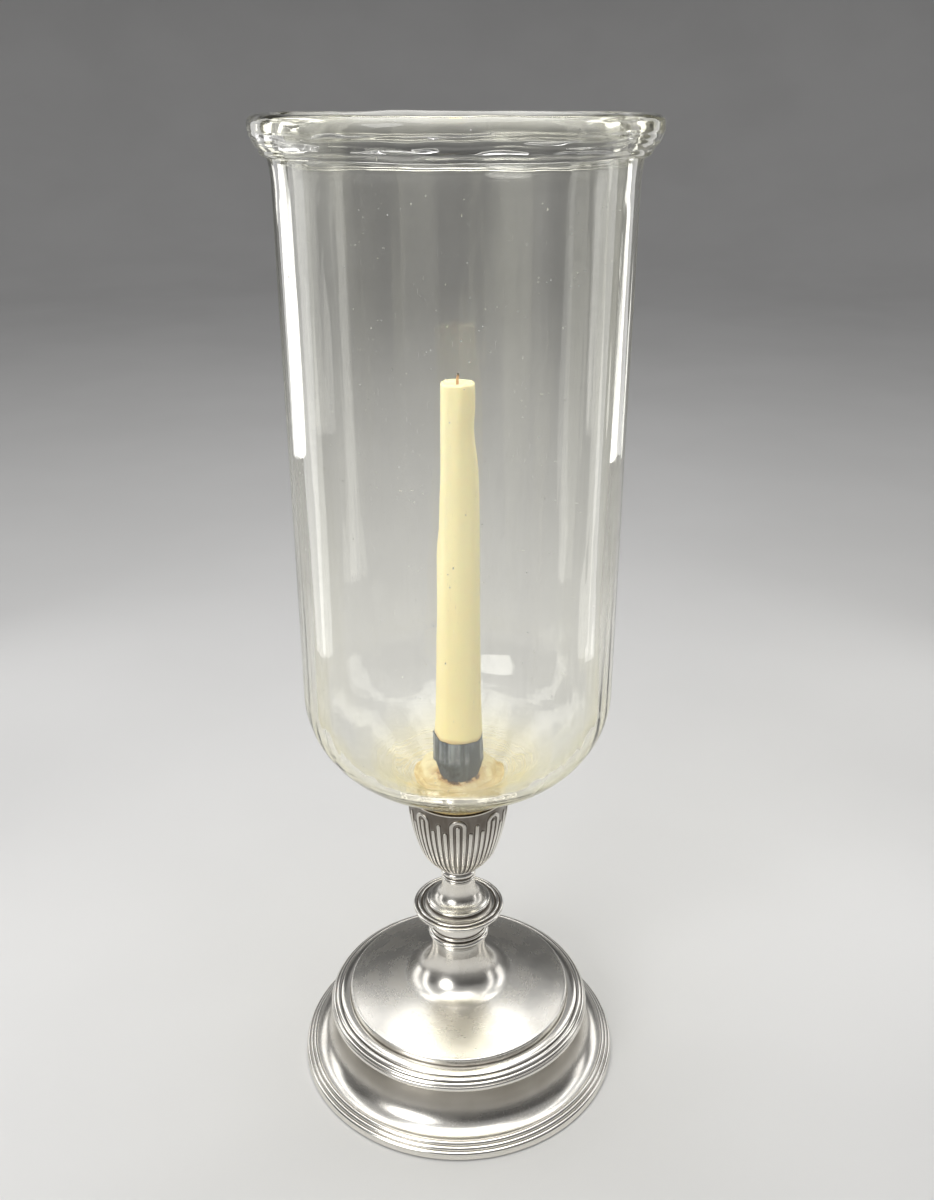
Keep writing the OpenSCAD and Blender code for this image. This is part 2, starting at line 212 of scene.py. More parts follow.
def glassFinish():
    look = glassLook
    f = Finish("old blown glass")
    where = f.place()
    height = f.split(where)[2]
    hairs = f.scratches(where, look["hairs"], look["hairWidth"], look["hairLength"], 0.745, 0.80)
    nicks = f.scratches(where, look["nicks"], look["nickWidth"], look["nickLength"], 0.76, 0.80)
    dots = f.ease(f.cells(where, 260.0), 0.085, 0.05) * f.ease(f.grain(where, 90.0, 2.0), 0.52, 0.60)
    smears = f.ease(f.upright(where, 0.10, 62.0, 5.0, 0.6), 0.52, 0.80)
    drapes = f.ease(f.upright(where, 0.05, 30.0), 0.50, 0.68)
    ripple = f.upright(where, 0.12, 120.0, 2.0)
    # straw coloured low down, most of all where it is seen edge on
    facing = f.add("LayerWeight", {}, {"Blend": 0.5}, out="Facing")
    body = f.blend(f.ease(height, *look["strawZ"]), (1.0, 1.0, 1.0), look["straw"])
    body = f.blend(f.ease(height, *look["edgeZ"]) * f.ease(facing, 0.48, 0.90), body, look["edge"])
    clear = f.surface({
        "Base Color": body, "Roughness": hairs * 0.3, "IOR": look["index"], "Transmission Weight": 1.0,
        "Normal": f.bump(ripple + dots * 0.4, look["rippleDepth"]),
    })
    # a thin veil of dust and scratches, with a stain on the bottom
    stain = f.mark("stain")
    bands = f.ease(f.grain(f.rings(where, look["bandPitch"], 1.2), 1.0, 3.0), 0.30, 0.70)
    dust = f.surface({
        "Base Color": f.blend(stain, look["dust"], look["stain"]), "Roughness": 1.0, "Specular IOR Level": 0.0,
    })
    veil = dots * 0.65 + hairs * 0.28 + nicks * 0.4 + (smears + drapes) * look["veil"]
    veil = veil + stain * (bands * 0.22 + 0.20) + f.mark("bloom") * smears * look["bloom"]
    dusty = f.add("MixShader", {}, {0: veil, 1: clear, 2: dust})
    # the lamps light what is inside as through clear air
    shadow = f.add("BsdfTransparent", {}, {"Color": (*look["shadow"], 1.0)})
    lampRay = f.add("LightPath", out="Is Shadow Ray")
    depth = f.add("VolumeAbsorption", {}, {"Color": (*look["tint"], 1.0), "Density": look["density"]})
    return f.done(f.add("MixShader", {}, {0: lampRay, 1: dusty, 2: shadow}), depth)


waxLook = {
    "pale": (0.92, 0.835, 0.53), "deep": (0.89, 0.785, 0.46), "speck": (0.64, 0.51, 0.30),
    "stain": (0.52, 0.31, 0.13), "deepZ": (0.300, 0.180), "tideZ": (0.1862, 0.1838), "socketZ": (0.1832, 0.1805),
    "index": 1.44, "scatter": 0.35, "scatterColour": (1.0, 0.62, 0.30), "scatterDepth": 0.004, "dragDepth": 0.00012,
}


def waxFinish():
    look = waxLook
    f = Finish("ivory candle wax")
    where = f.place()
    height = f.split(where)[2]
    cloud = f.upright(where, 0.3, 90.0, 4.0)
    low = f.ease(height, *look["deepZ"])
    colour = f.blend(f.ease(cloud * 0.7 + low * 0.45, 0.30, 0.85), look["pale"], look["deep"])
    specks = f.ease(f.cells(where, 210.0), 0.11, 0.06) * f.ease(f.grain(where, 60.0), 0.52, 0.6)
    colour = f.blend(specks * 0.45, colour, look["speck"])
    inTube = f.ease(height, *look["socketZ"])
    tideLine = f.ease(height + (cloud - 0.5) * 0.003, *look["tideZ"]) * (1 - inTube * 0.85)
    colour = f.blend(tideLine * 0.55, colour, look["stain"])
    drag = f.upright(where, 0.08, 900.0)
    return f.done(f.surface({
        "Base Color": colour, "Roughness": 0.42 + cloud * 0.16, "IOR": look["index"],
        "Subsurface Weight": look["scatter"], "Subsurface Radius": look["scatterColour"],
        "Subsurface Scale": look["scatterDepth"],
        "Normal": f.bump(drag * 0.6 + cloud - specks * 0.5, look["dragDepth"]),
    }))


plasterLook = {
    "cream": (0.64, 0.50, 0.265), "light": (0.80, 0.715, 0.48), "rust": (0.42, 0.215, 0.095),
    "crackShade": (0.08, 0.055, 0.04), "gritDepth": 0.00035,
}


def plasterFinish():
    look = plasterLook
    f = Finish("old plaster")
    where = f.place()
    lap, heapLight = f.mark("lap"), f.mark("heapLight")
    cloud = f.grain(where, 160.0, 5.0, 0.6)
    crumbs = f.grain(where, 330.0, 4.0)
    grit = f.grain(where, 1500.0, 3.0, 0.65)
    # painted highlight: the heaps are made lighter, as lit tops, over a random tone
    colour = f.blend(f.ease(cloud + heapLight * 0.22, 0.42, 0.72), look["cream"], look["light"])
    rust = f.ease(lap * 0.9 + (crumbs - 0.5) * 1.3, 0.42, 0.95)
    colour = f.blend(rust * 0.75, colour, look["rust"])
    # a crack next to the tube, sunk by the bump and painted dark as the shade inside it
    crackShade = f.ease(lap + (crumbs - 0.5) * 0.9, 0.93, 1.05)
    colour = f.blend(crackShade * 0.8, colour, look["crackShade"])
    return f.done(f.surface({
        "Base Color": colour, "Roughness": 0.72 + cloud * 0.2,
        "Normal": f.bump(grit * 0.6 + cloud - crackShade * 1.5, look["gritDepth"]),
    }))


tubeLook = {
    "slate": (0.085, 0.098, 0.120), "scuffAndSheen": (0.36, 0.39, 0.445), "soot": (0.028, 0.028, 0.030),
    "darkBelowZ": (0.1735, 0.1690), "stainDepth": 0.00010,
}


def tubeFinish():
    look = tubeLook
    f = Finish("dull slate metal")
    where = f.place()
    stain = f.upright(where, 0.55, 190.0, 5.0, 0.6)
    rubs = f.upright(where, 0.06, 330.0, 4.0)
    low = f.ease(f.split(where)[2] + (stain - 0.5) * 0.012, *look["darkBelowZ"])
    # light vertical streaks, partly scuffs and partly a painted reflection; they fade below the given heights, so the
    # tube is darker towards the bottom
    scuffAndSheen = f.ease(rubs * 0.80 + stain * 0.40, 0.50, 0.78) * (1 - low * 0.75)
    colour = f.blend(scuffAndSheen, look["slate"], look["scuffAndSheen"])
    colour = f.blend(f.ease(stain + low * 0.08, 0.56, 0.75) * 0.7, colour, look["soot"])
    return f.done(f.surface({
        "Base Color": colour, "Metallic": 0.55 + scuffAndSheen * 0.25, "Roughness": 0.40 + stain * 0.22,
        "Normal": f.bump(stain + rubs * 0.6, look["stainDepth"]),
    }))


wickLook = {
    "cotton": (0.55, 0.33, 0.17), "char": (0.05, 0.032, 0.022), "charZ": (0.3470, 0.3499), "fibreDepth": 0.00012,
}


def wickFinish():
    look = wickLook
    f = Finish("waxed wick")
    where = f.place()
    fibre = f.upright(where, 0.3, 2600.0)
    burnt = f.ease(fibre * 0.4 + f.ease(f.split(where)[2], *look["charZ"]), 0.45, 1.1)
    return f.done(f.surface({
        "Base Color": f.blend(burnt, look["cotton"], look["char"]), "Roughness": 0.6 + fibre * 0.3,
        "Normal": f.bump(fibre, look["fibreDepth"]),
    }))


corkLook = {
    "tan": (0.62, 0.48, 0.25), "fleck": (0.42, 0.29, 0.14), "grimeAndShade": (0.030, 0.018, 0.010),
    "edgeRadius": (0.0216, 0.0223), "edgeZ": (0.1517, 0.1513), "fleckDepth": 0.0003,
}


# Cork, with its outer edge below the glass painted dark as the shadow in the gap under the glass
def corkFinish():
    look = corkLook
    f = Finish("cork")
    where = f.place()
    x, y, z = f.split(where)
    flecks = f.grain(where, 900.0, 3.0, 0.6)
    colour = f.blend(f.ease(flecks, 0.42, 0.62), look["tan"], look["fleck"])
    # painted shadow on the outer edge of the ring
    edge = f.ease((x * x + y * y) ** 0.5, *look["edgeRadius"]) * f.ease(z, *look["edgeZ"])
    return f.done(f.surface({
        "Base Color": f.blend(edge, colour, look["grimeAndShade"]), "Roughness": 0.8 + flecks * 0.15,
        "Normal": f.bump(flecks, look["fleckDepth"]),
    }))


# Pieces that lie hidden keep their own shape and get a two-tone finish with grain
hiddenLooks = {
    "green felt": {
        "nodes": ["felt_pad"], "first": (0.020, 0.042, 0.024), "second": (0.050, 0.085, 0.050),
        "scale": 900.0, "rough": 0.95, "metal": 0.0, "depth": 0.0004, "stretch": (1, 1, 1),
    },
    "plain steel": {
        "nodes": ["base_plate", "tie_rod", "base_washer", "base_nut", "cup_washer", "cup_nut", "nozzle_liner"],
        "first": (0.36, 0.36, 0.36), "second": (0.58, 0.575, 0.56),
        "scale": 240.0, "rough": 0.36, "metal": 1.0, "depth": 0.00002, "stretch": (1, 1, 0.1),
    },
    "foot filling": {
        "nodes": ["base_weight"], "first": (0.055, 0.046, 0.036), "second": (0.13, 0.11, 0.085),
        "scale": 120.0, "rough": 0.9, "metal": 0.0, "depth": 0.0004, "stretch": (1, 1, 1),
    },
}


def grainFinish(name, look):
    f = Finish(name)
    where = f.mapped(f.place(), scale=look["stretch"])
    coarse = f.grain(where, look["scale"], 4.0, 0.6)
    fine = f.grain(where, look["scale"] * 9, 3.0)
    colour = f.blend(f.ease(coarse * 0.65 + fine * 0.35, 0.36, 0.64), look["first"], look["second"])
    return f.done(f.surface({
        "Base Color": colour, "Metallic": look["metal"], "Roughness": look["rough"] + (fine - 0.5) * 0.2,
        "Normal": f.bump(fine + coarse * 0.5, look["depth"]),
    }))


silver, glass, wax = silverFinish(), glassFinish(), waxFinish()
plaster, slate, wickCotton, cork = plasterFinish(), tubeFinish(), wickFinish(), corkFinish()
print("finishes ready")

for finishName, hiddenLook in hiddenLooks.items():
    finish = grainFinish(finishName, hiddenLook)
    for node in hiddenLook["nodes"]:
        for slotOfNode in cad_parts[node].material_slots:
            slotOfNode.material = finish
print("hidden pieces ready")


def ramp(low, high, value):
    return max(0.0, min(1.0, (value - low) / (high - low)))


def smooth(low, high, value):
    t = ramp(low, high, value)
    return t * t * (3 - 2 * t)


def hump(value, middle, width):
    return math.exp(-(((value - middle) / width) ** 2))


# Noise round the axis: c and s are the angle's cosine and sine, turns how busy it is
def wobble(c, s, turns, z):
    return noise.noise(Vector((c * turns, s * turns, z)))


# Numbers from 0 to 1 that are the same in each run
def draws(i, series, count):
    return [noise.cell(Vector((i + 0.5, k + 0.5, series))) * 0.5 + 0.5 for k in range(count)]


# Outlines are lists of (radius, height) in millimetres
def line(p, q, steps, first=0, last=None):
    last = steps if last is None else last
    return [tuple(a + (b - a) * i / steps for a, b in zip(p, q)) for i in range(first, last + 1)]


def arc(centre, rx, rz, start, end, steps):
    out = []
    for i in range(steps + 1):
        a = math.radians(start + (end - start) * i / steps)
        out.append((centre[0] + rx * math.cos(a), centre[1] + rz * math.sin(a)))
    return out


def bend(p0, p1, p2, steps):
    out = []
    for i in range(steps + 1):
        t = i / steps
        weights = (1 - t) ** 2, 2 * t * (1 - t), t * t
        out.append(tuple(sum(w * p[k] for w, p in zip(weights, (p0, p1, p2))) for k in (0, 1)))
    return out


def bead(radius, height, width, start=-90, end=90, steps=16):
    return arc((radius - width / 2, height), width / 2, width / 2, start, end, steps)


def reeds(points, rise, steps=12):
    out = []
    for (r0, z0), (r1, z1) in zip(points, points[1:]):
        mid, half = ((r0 + r1) / 2, (z0 + z1) / 2), ((r1 - r0) / 2, (z1 - z0) / 2)
        for i in range(steps + 1):
            a = math.pi * i / steps
            c, s = math.cos(a), math.sin(a) * rise
            out.append((mid[0] - half[0] * c - half[1] * s, mid[1] - half[1] * c + half[0] * s))
    return out


# Runs the outline anticlockwise, drops doubled points and rounds the corners, except at a flush seam
def soften(outline, radius, seam=None, corner=24, seamReach=0.12, share=0.42, steps=5):
    clean = [p for i, p in enumerate(outline) if math.dist(p, outline[i - 1]) > 1e-4]
    area = sum(a[0] * b[1] - b[0] * a[1] for a, b in zip(clean, clean[1:] + clean[:1]))
    clean = [Vector(p) for p in (clean if area > 0 else clean[::-1])]
    out = []
    for i, p in enumerate(clean):
        before, after = clean[i - 1] - p, clean[(i + 1) % len(clean)] - p
        turn = math.pi - before.angle(after)
        flush = seam is not None and abs(p.x - seam) < seamReach
        if turn < math.radians(corner) or radius == 0 or flush:
            out.append(tuple(p))
            continue
        reach = min(radius * math.tan(turn / 2), before.length * share, after.length * share)
        out += bend(p + before.normalized() * reach, p, p + after.normalized() * reach, steps)
    return out


# How far each point lies in a hollow and on an edge, 0 to 1
def hollows(outline, reach=0.8, depth=0.20):
    count = len(outline)

    def walk(start, step):
        left, i = reach, start
        while True:
            a, b = Vector(outline[i % count]), Vector(outline[(i + step) % count])
            gap = (b - a).length
            if gap >= left:
                return a + (b - a) * (left / gap)
            left, i = left - gap, i + step

    hollow, worn = [], []
    for i, p in enumerate(outline):
        ahead, behind = walk(i, 1), walk(i, -1)
        along = ahead - behind
        out = Vector((along.y, -along.x)).normalized()
        sink = ((ahead + behind) / 2 - Vector(p)).dot(out) / depth
        hollow.append(max(0.0, min(1.0, sink)))
        worn.append(max(0.0, min(1.0, -sink)))
    return hollow, worn


# Spins an outline round the axis. shape(r, z, angle, row) may move each point, in millimetres
def spin(outline, turns, shape):
    verts, faces, rows = [], [], []
    for row, (r, z) in enumerate(outline):
        if r < 1e-6:
            rows.append([len(verts)] * turns)
            verts.append((0.0, 0.0, z * mm))
            continue
        rows.append(list(range(len(verts), len(verts) + turns)))
        for j in range(turns):
            a = 2 * math.pi * j / turns
            rr, zz = shape(r, z, a, row)
            verts.append((rr * math.cos(a) * mm, rr * math.sin(a) * mm, zz * mm))
    for low, high in zip(rows, rows[1:] + rows[:1]):
        for j in range(turns):
            k = (j + 1) % turns
            quad = [low[j], low[k], high[k], high[j]]
            quad = [v for i, v in enumerate(quad) if v != quad[i - 1]]
            if len(quad) > 2:
                faces.append(quad)
    return verts, faces, rows


def spread(rows, values, count):
    out = [0.0] * count
    for row, value in zip(rows, values):
        for v in row:
            out[v] = value
    return out


def makePiece(name, verts, faces, look, material, marks=None, crease=40):
    mesh = bpy.data.meshes.new(name)
    mesh.from_pydata(verts, [], faces)
    for key, values in (marks or {}).items():
        mesh.attributes.new(key, "FLOAT", "POINT").data.foreach_set("value", values)
    mesh.shade_smooth()
    mesh.set_sharp_from_angle(angle=math.radians(crease))
    mesh.materials.append(material)
    piece = bpy.data.objects.new(name, mesh)
    bpy.context.scene.collection.objects.link(piece)
    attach(piece, look["body"])
    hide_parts(look["node"])


# A turned metal piece: its outline with softened edges, spun, with the faint unevenness of handwork
def turned(name, outline, look, material):
    outline = soften(outline, look["round"], look.get("seam"))
    hollow, worn = hollows(outline)
    # an optional band of painted shade between two heights
    low, high, amount = look.get("dim", (0, 1, 0.0))
    dullAndShade = [amount * smooth(low, high, z) for r, z in outline]
    uneven, size = look["uneven"], look.get("unevenSize", 16.0)

    def shape(r, z, a, row):
        lift = uneven * noise.noise(Vector((r * math.cos(a), r * math.sin(a), z)) / size)
        before, after = outline[row - 1], outline[(row + 1) % len(outline)]
        along = Vector((after[0] - before[0], after[1] - before[1])).normalized()
        return r + along.y * lift, z - along.x * lift

    verts, faces, rows = spin(outline, look["turns"], shape)
    byRow = {"hollow": hollow, "worn": worn, "dullAndShade": dullAndShade}
    marks = {key: spread(rows, values, len(verts)) for key, values in byRow.items()}
    marks["brushed"] = [look.get("brushed", 0.0)] * len(verts)
    makePiece(name, verts, faces, look, material, marks)


silverPiece = {"body": "stand", "slot": "silver_plate", "turns": 288, "round": 0.22, "uneven": 0.02}


def metal(node, **changes):
    return {"node": node, **silverPiece, **changes}


# Foot: a plain low wall, a shoulder with three reeds, and a deep cove
flange = metal(
    "foot_flange", radius=79.0, lift=0.5, batter=0.4, wall=2.4, shoulder=5.2, slope=0.78, lip=0.35, coveTop=23.0,
    throat=62.0, throatTop=27.84, throatStep=0.5, sheet=1.2, uneven=0.05, brushed=0.6,
    dim=(8.0, 18.0, 0.85),  # painted shade in the cove under the dome border, between these heights, and how much
)
footReeds = metal("foot_rim_wire", count=3, rise=0.8, round=0.0)
wallTop = (flange["radius"] - flange["batter"], flange["wall"])
rimIn = (wallTop[0] - flange["shoulder"], wallTop[1] + flange["slope"] * flange["shoulder"])


def flangeOutline():
    d, t = flange, flange["sheet"]
    centre = (rimIn[0], d["coveTop"])
    wide, tall = rimIn[0] - d["throat"], d["coveTop"] - rimIn[1] - d["lip"]
    return (
        [(d["radius"] - t, d["lift"]), (d["radius"], d["lift"]), wallTop, rimIn]
        + arc(centre, wide, tall, 270, 180, 48)
        + [(d["throat"], d["throatTop"]), (d["throat"] - t, d["throatTop"] + d["throatStep"])]
        + arc(centre, wide + t, tall + t, 180, 268, 24)
        + [(wallTop[0] - t, wallTop[1] - d["slope"] * t)]
    )


turned("spun_foot", flangeOutline(), flange, silver)
turned("foot_reeds", reeds(line(rimIn, wallTop, footReeds["count"]), footReeds["rise"]), footReeds, silver)

# Dome: a polished top that is slightly crowned, a rolled edge and a sloping skirt under a reeded border
dome = metal(
    "dome_shell", plateau=55.0, plateauTop=37.0, crown=190.0, edge=1.1, seat=27.0, seatDrop=0.7, bore=10.0,
    ledge=32.376, ledgeDrop=0.6, skirt=(63.7, 28.2), hem=27.6, sheet=1.2, uneven=0.05, unevenSize=22.0,
    seam=27.0, brushed=1.0,
)
border = metal(
    "dome_border_wire", top=(55.0, 33.376), upper=(60.15, 32.3),
    quirks=[(62.65, 31.2), (64.25, 29.9), (64.65, 27.6)], wideRise=0.3, rise=0.5, round=0.0,
)
crownZ = dome["plateauTop"] - math.sqrt(dome["crown"] ** 2 - dome["plateau"] ** 2)
seatZ = crownZ + math.sqrt(dome["crown"] ** 2 - dome["seat"] ** 2) - dome["seatDrop"]


def domeOutline():
    d, t = dome, dome["sheet"]
    centre, crown, inner = (0, crownZ), dome["crown"], dome["crown"] - dome["sheet"]

    def lean(r, size):
        return math.degrees(math.acos(r / size))

    edgeAt = lean(d["plateau"] - d["edge"], crown)
    edge = arc(centre, crown, crown, edgeAt, edgeAt, 1)[0]
    seatIn = d["seat"] - 1
    return (
        [(d["bore"], seatZ), (d["seat"], seatZ)]
        + arc(centre, crown, crown, lean(d["seat"], crown), edgeAt, 40)
        + arc((edge[0], edge[1] - d["edge"]), d["edge"], d["edge"], 72, 0, 10)
        + [(d["plateau"], d["ledge"]), d["skirt"], (d["skirt"][0], d["hem"]), (d["skirt"][0] - t, d["hem"])]
        + [(d["plateau"] - t, d["ledge"] - d["ledgeDrop"])]
        + arc(centre, inner, inner, edgeAt + 0.2, lean(seatIn, inner), 16)
        + [(seatIn, seatZ - t), (d["bore"], seatZ - t)]
    )


def borderOutline():
    d = border
    return (
        [(dome["plateau"], dome["ledge"])] + reeds([d["top"], d["upper"]], d["wideRise"], 24)
        + reeds([d["upper"], *d["quirks"]], d["rise"]) + [(dome["skirt"][0], dome["hem"]), dome["skirt"]]
    )


turned("dome", domeOutline(), dome, silver)
turned("dome_reeds", borderOutline(), border, silver)
print("foot and dome ready")

# Stem, from the dome up to the urn. Beads are given by radius, height, width and, if not half round, their angles
rodHole = 3.25
trumpet = metal(
    "stem_trumpet", flare=15.2, top=13.2, topZ=66.0, web=4.0, sheet=2.7, uneven=0.05, unevenSize=22.0,
    seam=dome["seat"], brushed=0.8,
)
knop = metal(
    "lower_knop", core=13.2, topZ=75.0, beads=[(13.8, 67.0, 1.2), (14.9, 69.4, 3.2), (14.2, 72.8, 1.7)], round=0.12,
)
drum = metal("stem_drum", end=13.8, waist=13.1, topZ=82.0, brushed=0.5)
collar = metal(
    "saucer_collar", under=[(14.6, 84.2), (20.8, 84.6)], over=[(18.2, 86.2), (15.6, 86.4), (15.2, 88.0)],
    beads=[(22.2, 85.3, 2.0, -68, 132), (20.1, 86.0, 1.8, 8, 165), (15.5, 88.6, 1.6, -40, 95)],
    top=13.8, topZ=89.8, round=0.12,
)
bell = metal("bell_waist", foot=13.6, fillet=0.3, pull=(-0.2, 0.9), top=7.8, topZ=101.6, brushed=0.7)
neckRing = metal(
    "neck_ring", core=7.8, topZ=107.9, beads=[(8.4, 102.4, 1.1), (8.4, 103.6, 1.1), (8.7, 106.0, 2.8)], round=0.12,
)


# The trumpet runs out into the dome without a crease
def trumpetOutline():
    d, foot = trumpet, dome["seat"]
    webZ = d["topZ"] - d["web"]
    seatTop = seatZ + dome["seatDrop"]
    flare = (d["flare"], seatTop + (foot - d["flare"]) * foot / (seatTop - crownZ))
    return (
        [(d["flare"], seatZ), (foot, seatZ)] + bend((foot, seatTop), flare, (d["top"], webZ - 1), 56)
        + [(d["top"], d["topZ"]), (rodHole, d["topZ"]), (rodHole, webZ), (d["top"] - d["sheet"], webZ)]
    )


def beadedSide(look, footZ):
    side = [(look["core"], footZ)]
    for b in look["beads"]:
        side += [p for p in bead(*b) if p[0] >= look["core"] - 1e-6]
    return side + [(look["core"], look["topZ"])]


def drumSide(d, footZ):
    return bend((d["end"], footZ), (d["waist"], (footZ + d["topZ"]) / 2), (d["end"], d["topZ"]), 16)


def collarSide(d, footZ):
    edge, inner, bellBead = (bead(*b) for b in d["beads"])
    saucer = bend((drum["end"], footZ), *d["under"], 16) + edge + inner
    return saucer + bend(*d["over"], 16) + bellBead + [(d["top"], d["topZ"])]


def bellSide(d, footZ):
    pull = (d["top"] + d["pull"][0], footZ + d["pull"][1])
    return [(d["foot"], footZ)] + bend((d["foot"], footZ + d["fillet"]), pull, (d["top"], d["topZ"]), 36)


turned("trumpet", trumpetOutline(), trumpet, silver)
stemZ = trumpet["topZ"]
for name, look, side in [
    ("knop", knop, beadedSide), ("drum", drum, drumSide), ("collar", collar, collarSide),
    ("bell", bell, bellSide), ("astragal", neckRing, beadedSide),
]:
    turned(name, [(rodHole, stemZ)] + side(look, stemZ) + [(rodHole, look["topZ"])], look, silver)
    stemZ = look["topZ"]
print("stem ready")

# Urn with stop fluting: eight arches that each hold a rib, and short, tall and short ribs between them
urn = {
    "node": "urn_cup", "body": "stand", "slot": "silver_plate", "turns": 768, "footZ": 107.9, "topZ": 150.9,
    "foot": 7.9, "belly": (18.4, 122.0), "mouth": 23.3, "lowPull": (7.9, 6.9), "highPull": (0.3, 29.0),
    "lip": 1.2, "wall": 2.4, "ledge": 1.4, "floor": 5, "arches": 8, "pitch": 7.5, "ribShare": 0.36, "rise": 0.72,
    "ribFoot": 109.0, "ribFade": 2.5, "fullRib": 0.8, "archSpring": 144.7, "inner": 145.4, "tall": 145.6,
    "short": 141.4, "grooveAt": 1.05, "grooveWide": 0.34, "ground": 0.76, "groundFrom": (1.0, 1.6), "ribDim": 0.44,
    "plainDim": 0.4, "dimRise": (-4, 22), "brightFall": (16, -4), "worn": 0.35, "brushed": 0.1,
}


def urnOutline():
    d = urn
    lower = bend((d["foot"], d["footZ"]), (d["foot"] + d["lowPull"][0], d["footZ"] + d["lowPull"][1]), d["belly"], 52)
    pull = (d["mouth"] + d["highPull"][0], d["footZ"] + d["highPull"][1])
    outside = lower + bend(d["belly"], pull, (d["mouth"], d["topZ"]), 130)[1:]
    ledge, floor = d["topZ"] - d["ledge"], d["footZ"] + d["floor"]
    inside = [(r - d["wall"], z) for r, z in outside[::12] if floor + 1 < z < ledge]
    lip = d["mouth"] - d["lip"]
    close = [(lip, d["topZ"]), (lip, ledge), (d["mouth"] - d["wall"], ledge)]
    return outside, close + inside[::-1] + [(rodHole, floor), (rodHole, d["footZ"])]


# Height of the fluting, 0 on the ground to 1 on top of a rib, and how far away the nearest rib is, in half widths
def fluting(r, z, angle):
    d = urn
    bay = 360 / d["arches"]
    turn = (math.degrees(angle) + 90 + bay / 2) % bay - bay / 2
    across = math.radians(1) * r
    half = d["ribShare"] * d["pitch"] * across

    def rib(x, top):
        return math.hypot(x * across, max(0.0, z - (top - half))) / half

    over = z - d["archSpring"]
    if over > 0:
        arch = abs(math.hypot(turn * across, over) - d["pitch"] * across) / half
    else:
        arch = min(abs(turn - d["pitch"]), abs(turn + d["pitch"])) * across / half
    far = [arch, rib(turn, d["inner"])]
    for side in (-1, 1):
        far += [rib(turn - side * 2 * d["pitch"], d["short"]), rib(turn - side * 3 * d["pitch"], d["tall"])]
    nearest = min(far)
    top = math.sqrt(1 - nearest * nearest) if nearest < 1 else 0.0
    fade = ramp(d["ribFoot"], d["ribFoot"] + d["ribFade"], z)
    return top * fade * min(1.0, half / d["fullRib"]), nearest


def makeUrn():
    d = urn
    outside, close = urnOutline()
    outline = outside + close
    hollow = []

    def fromBelly(span, z):
        return smooth(d["belly"][1] + span[0], d["belly"][1] + span[1], z)

    def shape(r, z, a, row):
        if row >= len(outside):
            hollow.append(0.0)
            return r, z
        height, far = fluting(r, z, a)
        dim = d["ribDim"] + (d["ground"] - d["ribDim"]) * smooth(*d["groundFrom"], far)
        # above the belly the ribs and the ground between them grow darker the higher they are: painted shade on top of
        # the patina in the grooves
        dim = max(hump(far, d["grooveAt"], d["grooveWide"]), dim * fromBelly(d["dimRise"], z))
        hollow.append(dim if d["ribFoot"] < z < d["topZ"] - 0.5 else d["plainDim"])
        return r + height * d["rise"], z

    verts, faces, rows = spin(outline, d["turns"], shape)
    # patina thins towards the bottom and thickens towards the top, which adds to the painted shade at the top of the
    # urn
    low = spread(rows, [fromBelly(d["brightFall"], z) for r, z in outline], len(verts))
    worn = [(d["worn"] + (1 - d["worn"]) * k) * (1.0 - h) for h, k in zip(hollow, low)]
    marks = {"hollow": hollow, "worn": worn, "brushed": [d["brushed"]] * len(verts)}
    makePiece("urn", verts, faces, d, silver, marks, crease=60)


makeUrn()
print("urn ready")

# Ring of cork between the urn and the glass
corkRing = {
    "node": "seat_ring", "body": "stand", "slot": "cork", "turns": 192, "round": 0.35, "uneven": 0.10,
    "unevenSize": 3.0, "inside": 12.2, "outside": 22.4, "low": 150.9, "high": 152.15,
}


def corkOutline():
    d = corkRing
    return [
        (d["inside"], d["low"]), (d["outside"], d["low"]), (d["outside"], d["high"]), (d["inside"], d["high"]),
    ]


turned("cork_seat", corkOutline(), corkRing, cork)

# Blown glass shade: conical bottom, straight wall with a slight wander, and a thick folded rim
shade = {
    "node": "glass_shade", "body": "shade", "slot": "clear_glass", "turns": 400, "foot": 22.9, "hole": 17.0,
    "footZ": 152.2, "radius": 69.4, "spread": 0.6, "wall": 5.0, "cone": 35.5, "bowl": 43.4, "lipZ": 447.6,
    "fold": 15.2, "neck": 2, "rim": 78.0, "streaks": 0.14, "wander": 0.28, "wanderFrom": (165, 205),
    "tooling": 0.16, "toolingTo": (205, 185), "lumps": 0.75, "lumpsFrom": (70.5, 74.5), "sagTo": (436, 444),
    "ridges": 0.22, "ridgesFrom": (405, 414), "stainTo": (174, 158), "bloomFrom": (429, 436),
    "creases": [(434.8, 0.50), (437.6, 0.34), (440.2, 0.42), (443.0, 0.30)], "creaseWide": 0.65,  # height, depth
}
foldAir = {"count": 26, "radius": 71.0, "height": 436.6, "layer": (1.5, 2.8), "around": 16, "along": 28}
seedAir = {"count": 150, "radius": 66.4, "low": 215, "tall": 205, "least": 0.10, "more": 0.22, "around": 8, "along": 6}


